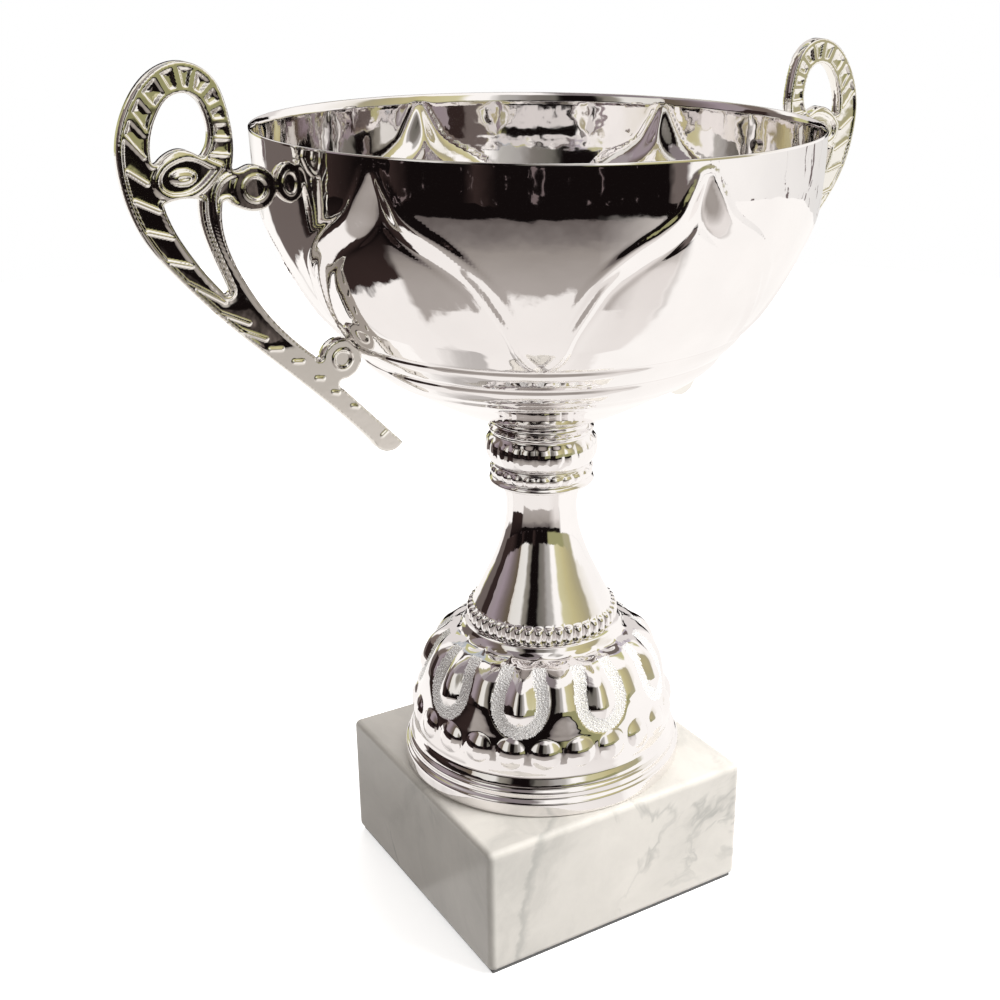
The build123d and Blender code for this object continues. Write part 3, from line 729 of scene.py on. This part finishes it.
def make_handle_mesh():
    """The right-hand handle's face, from its CAD plate's outline: points, triangles, half thicknesses."""
    plates = sorted(plate_outlines("handle_right"), key=area_of, reverse=True)
    outlines = [evened(o, LATTICE) for o in plates if area_of(o) > SMALLEST_OUTLINE]
    border = np.concatenate(outlines)
    edges, start = [], 0
    for outline in outlines:
        count = len(outline)
        edges += [(start + i, start + (i + 1) % count) for i in range(count)]
        start += count
    low, high = outlines[0].min(0), outlines[0].max(0)
    columns = np.arange(low[0], high[0], LATTICE)
    rows = np.arange(low[1], high[1], LATTICE * math.sqrt(0.75))
    grid = np.stack(np.meshgrid(columns, rows), axis=2)
    grid[1::2, :, 0] += LATTICE / 2
    grid = grid.reshape(-1, 2)
    grid = grid[is_inside(grid, outlines)]
    grid = grid[nearest_distance(grid, border) > 0.7 * LATTICE]
    flat = np.concatenate([border, grid])
    found = delaunay_2d_cdt([Vector(p) for p in flat], edges, [], 0, 1e-5)
    flat = np.array([tuple(v) for v in found[0]])
    triangles = np.array(found[2])
    triangles = triangles[is_inside(flat[triangles].mean(1), outlines)]
    used, triangles = np.unique(triangles, return_inverse=True)
    flat, triangles = flat[used], triangles.reshape(-1, 3)
    from_edge = nearest_distance(flat, border)
    first = flat[triangles[:, 0]]
    turn = np.cross(flat[triangles[:, 1]] - first, flat[triangles[:, 2]] - first)
    triangles[turn < 0] = triangles[turn < 0][:, ::-1]
    rounded = np.clip(from_edge, 0.0, EDGE_ROUND)
    half = HALF_PLATE - EDGE_ROUND + np.sqrt(EDGE_ROUND ** 2 - (EDGE_ROUND - rounded) ** 2)
    half = half + handle_relief(flat, from_edge) * smoothstep(0.0, 0.5, from_edge)
    return flat, triangles, half


def nearest_distance(points, targets):
    """Distance from each point to the closest target point, worked out in blocks."""
    best = np.empty(len(points))
    block = 2000
    for i in range(0, len(points), block):
        part = points[i:i + block]
        best[i:i + block] = np.sqrt(((part[:, None, :] - targets[None, :, :]) ** 2).sum(2).min(1))
    return best


def make_handles():
    """Both cast handles: the face and its mirror image, closed by walls; the left one is turned round Z."""
    flat, triangles, half = make_handle_mesh()
    count = len(flat)
    front = np.stack([flat[:, 0], -half, flat[:, 1]], axis=1)
    back = np.stack([flat[:, 0], half, flat[:, 1]], axis=1)
    pairs = np.concatenate([triangles[:, [0, 1]], triangles[:, [1, 2]], triangles[:, [2, 0]]])
    known = {(a, b) for a, b in pairs.tolist()}
    border = np.array([(a, b) for a, b in pairs.tolist() if (b, a) not in known])
    a, b = border[:, 0], border[:, 1]
    walls = np.concatenate([np.stack([a, a + count, b], 1), np.stack([b, a + count, b + count], 1)])
    faces = np.concatenate([triangles, triangles[:, ::-1] + count, walls])
    points = np.concatenate([front, back])
    for side, turned in (("right", 1.0), ("left", -1.0)):
        new_piece("handle_cast_" + side, points * [turned, turned, 1.0], faces, [HANDLE_METAL],
                  ["handle_" + side])


make_handles()

# ---- finishes of the CAD nodes that stay ----
NODE_FINISH = {"marble_base": MARBLE, "base_pad": FELT, "base_nut": STEEL, "base_washer": STEEL,
               "base_spring_washer": STEEL, "tie_rod": STEEL, "bowl_washer": STEEL, "bowl_nut": STEEL,
               "handle_rivets": HANDLE_METAL}
for node, finish in NODE_FINISH.items():
    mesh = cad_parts[node].data
    mesh.materials.clear()
    mesh.materials.append(finish)


# ---- floor, room and light ----
def turn_and_height(tree, vector):
    """A vector's azimuth, as 0 to 1 from -180 degrees, and its Z."""
    parts = add_node(tree, "ShaderNodeSeparateXYZ", {0: vector}).outputs
    turn = calculated(tree, "ARCTAN2", parts["Y"], parts["X"])
    return calculated(tree, "MULTIPLY_ADD", turn, 0.5 / math.pi, 0.5), parts["Z"]


def at(degrees):
    """Place of an azimuth on the ramp that runs once round the room."""
    return ((degrees + 180.0) % 360.0) / 360.0


# The room that the plating mirrors, as (azimuth, colour), in four bands one above the other.
BLACK, BROWN = (0.006, 0.004, 0.004), (0.035, 0.022, 0.02)
WARM_WHITE = (1.06, 1.03, 1.0)
OLIVE, PALE_OLIVE, DARK_OLIVE = (0.56, 0.54, 0.28), (0.44, 0.41, 0.26), (0.33, 0.32, 0.16)
GREY_BROWN, LILAC = (0.16, 0.13, 0.12), (0.52, 0.47, 0.53)
CLUTTER = (0.17, 0.13, 0.13, 1.0)
SOFT_LIGHT = (0.46, 0.445, 0.43, 1.0)
# The heights over which each band takes over from the one below, as the sine of the elevation.
LEVEL_FROM, MIDDLE_FROM, HIGH_FROM = (-0.125, -0.105), (0.06, 0.08), (0.56, 0.62)
ROOM_LOW = [(-180.0, BROWN), (-172.0, BLACK), (-150.0, BLACK), (-146.0, BROWN), (-138.0, BLACK),
            (-85.0, BLACK), (-71.0, BLACK), (-69.0, GREY_BROWN), (-64.0, GREY_BROWN), (-62.0, WARM_WHITE),
            (40.0, (0.80, 0.78, 0.76)), (70.0, (0.55, 0.53, 0.50)), (90.0, WARM_WHITE), (103.0, WARM_WHITE),
            (105.0, GREY_BROWN), (132.0, GREY_BROWN), (135.0, BLACK), (150.0, BROWN), (165.0, BLACK)]
ROOM_LEVEL = [(-180.0, BROWN), (-172.0, BLACK), (-150.0, BLACK), (-146.0, BROWN), (-138.0, BLACK),
              (-107.0, BLACK), (-103.0, DARK_OLIVE), (-60.0, DARK_OLIVE), (-54.0, PALE_OLIVE),
              (-36.0, PALE_OLIVE), (-30.0, WARM_WHITE), (26.0, WARM_WHITE), (29.0, BLACK), (88.0, BLACK),
              (91.0, OLIVE), (102.0, OLIVE), (105.0, GREY_BROWN), (122.0, GREY_BROWN), (125.0, BROWN),
              (150.0, BROWN), (165.0, BLACK)]
# How much higher the level part of the room reaches behind the cup.
ROOM_RISE = [(-180.0, 0.0), (20.0, 0.0), (28.0, 0.075), (92.0, 0.075), (104.0, 0.13), (138.0, 0.13),
             (141.0, 0.0)]
ROOM_MIDDLE = [(-180.0, (0.66, 0.60, 0.54)), (-176.0, (0.80, 0.78, 0.73)), (-160.0, (0.84, 0.82, 0.78)),
               (-156.0, (0.30, 0.28, 0.24)), (-150.0, (0.22, 0.20, 0.17)), (-146.0, BLACK), (-131.0, BLACK),
               (-127.0, (0.16, 0.15, 0.13)), (-117.0, (0.22, 0.20, 0.18)), (-111.0, (0.42, 0.40, 0.38)),
               (-103.0, (0.50, 0.48, 0.45)), (-98.0, WARM_WHITE), (-89.0, WARM_WHITE),
               (-84.0, (0.66, 0.62, 0.38)), (-66.0, (0.58, 0.52, 0.28)), (-48.0, (0.46, 0.41, 0.24)),
               (-37.0, (0.42, 0.38, 0.26)), (-32.0, (0.90, 0.86, 0.78)), (-10.0, WARM_WHITE),
               (20.0, WARM_WHITE), (26.0, (0.78, 0.74, 0.72)), (95.0, (0.78, 0.74, 0.72)),
               (100.0, WARM_WHITE), (111.0, WARM_WHITE), (116.0, (0.20, 0.16, 0.14)),
               (132.0, (0.18, 0.14, 0.12)), (138.0, (0.34, 0.29, 0.30)), (152.0, (0.34, 0.28, 0.31)),
               (164.0, (0.20, 0.16, 0.16)), (176.0, (0.14, 0.11, 0.08))]
ROOM_HIGH = [(-180.0, (0.26, 0.22, 0.24)), (-130.0, (0.24, 0.21, 0.21)), (-118.0, WARM_WHITE),
             (-4.0, WARM_WHITE), (2.0, OLIVE), (13.0, OLIVE), (15.0, LILAC), (26.0, LILAC),
             (28.0, GREY_BROWN), (40.0, GREY_BROWN), (42.0, WARM_WHITE), (47.0, WARM_WHITE), (49.0, BLACK),
             (64.0, BROWN), (66.0, WARM_WHITE), (74.0, WARM_WHITE), (76.0, OLIVE), (87.0, OLIVE),
             (89.0, (0.50, 0.53, 0.56)), (99.0, (0.50, 0.53, 0.56)), (101.0, GREY_BROWN), (113.0, BLACK),
             (115.0, WARM_WHITE), (126.0, WARM_WHITE), (128.0, PALE_OLIVE), (139.0, PALE_OLIVE),
             (141.0, (0.60, 0.56, 0.56)), (158.0, (0.36, 0.32, 0.33))]


def round_ramp(tree, azimuth, stops):
    """A ramp over stops of (azimuth in degrees, grey or colour)."""
    return ramp(tree, azimuth, sorted((at(degrees), value) for degrees, value in stops))


def make_world():
    """The room for mirrored rays, white for the camera and an even light for the rest."""
    world = bpy.data.worlds.new("studio")
    bpy.context.scene.world = world
    world.use_nodes = True
    tree = world.node_tree
    background = tree.nodes["Background"]
    direction = add_node(tree, "ShaderNodeTexCoord").outputs["Generated"]
    azimuth, height = turn_and_height(tree, direction)
    uneven = scaled(tree, noise(tree, 5.0, 4.0, 0.6, 0.0, direction), -0.09, 0.09)
    wavy = calculated(tree, "ADD", height, uneven)
    drift = scaled(tree, noise(tree, 3.0, 4.0, 0.6, 0.0, direction), -0.05, 0.05)
    patchy = calculated(tree, "ADD", azimuth, drift)
    level = add_node(tree, "ShaderNodeMapRange", {"Value": height, "From Min": LEVEL_FROM[0],
                                                  "From Max": LEVEL_FROM[1]}).outputs[0]
    above = calculated(tree, "SUBTRACT", wavy, round_ramp(tree, azimuth, ROOM_RISE))
    middle = ramp(tree, above, [(MIDDLE_FROM[0], 0.0), (MIDDLE_FROM[1], 1.0)])
    overhead = ramp(tree, wavy, [(HIGH_FROM[0], 0.0), (HIGH_FROM[1], 1.0)])
    clutter = ramp(tree, noise(tree, 15.0, 3.0, 0.6, 0.5, direction), [(0.62, 0.0), (0.64, 1.0)])
    low = blended(tree, clutter, round_ramp(tree, azimuth, ROOM_LOW), CLUTTER)
    room = blended(tree, level, low, round_ramp(tree, azimuth, ROOM_LEVEL))
    room = blended(tree, middle, room, round_ramp(tree, azimuth, ROOM_MIDDLE))
    room = blended(tree, overhead, room, round_ramp(tree, patchy, ROOM_HIGH))
    path = add_node(tree, "ShaderNodeLightPath")
    plain = blended(tree, path.outputs["Is Camera Ray"], SOFT_LIGHT, (1.0, 1.0, 1.0, 1.0))
    seen = blended(tree, path.outputs["Is Glossy Ray"], plain, room)
    tree.links.new(seen, background.inputs["Color"])
    background.inputs["Strength"].default_value = 1.0


FLOOR_RADIUS = 0.85
# The floor's grey where the camera sees it and for the light it sends back, and its painted glow for the
# camera, which lightens the shadows on it.
FLOOR_SEEN, FLOOR_BOUNCE, FLOOR_GLOW = 0.98, 0.22, 0.6
# The table as the plating mirrors it, by the share of its radius: towards the camera, and all round. The
# floor shows these to mirrored rays as a painted glow, not as lit colour.
TABLE_FACING = [(0.0, (0.96, 0.92, 0.89)), (0.19, (0.95, 0.91, 0.88)), (0.205, (0.44, 0.40, 0.375)),
                (0.45, (0.33, 0.295, 0.27)), (0.58, (0.20, 0.175, 0.165)), (0.71, (0.12, 0.10, 0.095)),
                (0.73, BLACK)]
TABLE_BESIDE = [(0.0, (0.94, 0.90, 0.87)), (0.40, (0.80, 0.75, 0.72)), (0.55, (0.58, 0.54, 0.51)),
                (0.74, (0.52, 0.48, 0.45)), (0.79, BLACK)]
TABLE_BRIGHT = [(0.0, WARM_WHITE), (1.0, WARM_WHITE)]
# The first grey stops of these two ramps, near the cup, are a painted shadow of the marble base.
TABLE_BROWN_AND_PAINTED_SHADOW = [(0.0, (0.5, 0.47, 0.45)), (0.09, (0.55, 0.52, 0.5)), (0.13, WARM_WHITE), (0.48, WARM_WHITE),
               (0.50, GREY_BROWN), (1.0, GREY_BROWN)]
TABLE_DARK_AND_PAINTED_SHADOW = [(0.0, (0.5, 0.47, 0.45)), (0.09, (0.55, 0.52, 0.5)), (0.13, (0.97, 0.93, 0.9)),
              (0.30, (0.97, 0.93, 0.9)), (0.315, BROWN), (1.0, BLACK)]
# Where each of them lies: the azimuths over which it comes in and goes out again.
TABLE_SECTORS = [(TABLE_BESIDE, -100.0, -78.0, -64.0, -63.0), (TABLE_BRIGHT, -66.0, -60.0, 102.0, 104.0),
                 (TABLE_BROWN_AND_PAINTED_SHADOW, 102.0, 104.0, 132.0, 134.0), (TABLE_DARK_AND_PAINTED_SHADOW, 132.0, 134.0, 175.0, 178.0)]


def make_floor():
    """A plain pale table with a painted glow for the camera. In the plating's reflections it is a painted
    glow that darkens with the distance from the cup, with a painted shadow of the base next to it.
    """
    bpy.ops.mesh.primitive_circle_add(vertices=128, radius=FLOOR_RADIUS, fill_type="TRIFAN")
    floor = bpy.context.object
    floor.name = "floor"
    material, tree, shader = node_material("pale_table")
    shader.inputs["Roughness"].default_value = 0.7
    place = add_node(tree, "ShaderNodeNewGeometry").outputs["Position"]
    azimuth = turn_and_height(tree, place)[0]
    reach = add_node(tree, "ShaderNodeVectorMath", {0: place}, operation="LENGTH").outputs["Value"]
    ragged = scaled(tree, noise(tree, 7.0, 5.0, 0.6), -0.09, 0.09)
    share = calculated(tree, "ADD", calculated(tree, "DIVIDE", reach, FLOOR_RADIUS), ragged)
    colour = ramp(tree, share, TABLE_FACING)
    for stops, *edges in TABLE_SECTORS:
        mask = round_ramp(tree, azimuth, zip(edges, (0.0, 1.0, 1.0, 0.0)))
        colour = blended(tree, mask, colour, ramp(tree, share, stops))
    # For mirrored rays the floor is this painted glow, not a lit surface.
    glow = add_node(tree, "ShaderNodeEmission", {"Color": colour}).outputs[0]
    path = add_node(tree, "ShaderNodeLightPath")
    seen = path.outputs["Is Camera Ray"]
    tree.links.new(scaled(tree, seen, FLOOR_BOUNCE, FLOOR_SEEN), shader.inputs["Base Color"])
    # Painted light: a glow that only the camera sees, lightening the floor's shadows.
    glare = scaled(tree, seen, 0.0, FLOOR_GLOW)
    painted_floor_glow = add_node(tree, "ShaderNodeEmission", {"Strength": glare}).outputs[0]
    lit = add_node(tree, "ShaderNodeAddShader", {0: shader.outputs[0], 1: painted_floor_glow})
    mixed = add_node(tree, "ShaderNodeMixShader",
                     {0: path.outputs["Is Glossy Ray"], 1: lit.outputs[0], 2: glow}).outputs[0]
    tree.links.new(mixed, tree.nodes["Material Output"].inputs["Surface"])
    floor.data.materials.append(material)


LIGHT_AIM = (0.0, 0.0, 0.1)


def make_light(name, place, size, power):
    """A soft square lamp aimed at the cup, which the plating doesn't mirror."""
    data = bpy.data.lights.new(name, "AREA")
    data.size = size
    data.energy = power
    lamp = bpy.data.objects.new(name, data)
    lamp.location = place
    lamp.rotation_mode = "QUATERNION"
    lamp.rotation_quaternion = (Vector(LIGHT_AIM) - Vector(place)).to_track_quat("-Z", "Y")
    lamp.visible_glossy = False
    bpy.context.scene.collection.objects.link(lamp)


make_world()
make_floor()
make_light("key", (0.9, -0.9, 1.1), 0.9, 38.0)
make_light("fill", (0.7, 1.0, 0.9), 1.2, 10.0)

# ---- camera ----
CAMERA_PLACE = (-186.9, -306.2, 253.6)
CAMERA_AZIMUTH, CAMERA_PITCH, CAMERA_ROLL = 56.19, 21.44, 0.73
CAMERA_LENS, CAMERA_SHIFT = 51.56, (-0.0978, -0.0016)
CAMERA_NEAR = 0.01


def make_camera():
    """The camera of the photograph's view, in millimetres and degrees about the cup."""
    camera = bpy.data.objects.new("camera", bpy.data.cameras.new("camera"))
    bpy.context.scene.collection.objects.link(camera)
    yaw, pitch, roll = (math.radians(v) for v in (CAMERA_AZIMUTH, CAMERA_PITCH, CAMERA_ROLL))
    ahead = Vector((math.cos(yaw) * math.cos(pitch), math.sin(yaw) * math.cos(pitch), -math.sin(pitch)))
    right = ahead.cross(Vector((0.0, 0.0, 1.0))).normalized()
    up = right.cross(ahead)
    tilted_right = right * math.cos(roll) + up * math.sin(roll)
    tilted_up = up * math.cos(roll) - right * math.sin(roll)
    turn = Matrix((tilted_right, tilted_up, -ahead)).transposed()
    camera.matrix_world = Matrix.Translation(Vector(CAMERA_PLACE) * MM) @ turn.to_4x4()
    camera.data.sensor_width = 36.0
    camera.data.lens = CAMERA_LENS
    camera.data.shift_x, camera.data.shift_y = CAMERA_SHIFT
    camera.data.clip_start = CAMERA_NEAR
    bpy.context.scene.camera = camera


make_camera()
bpy.context.scene.view_settings.view_transform = "Standard"

bpy.context.view_layer.update()
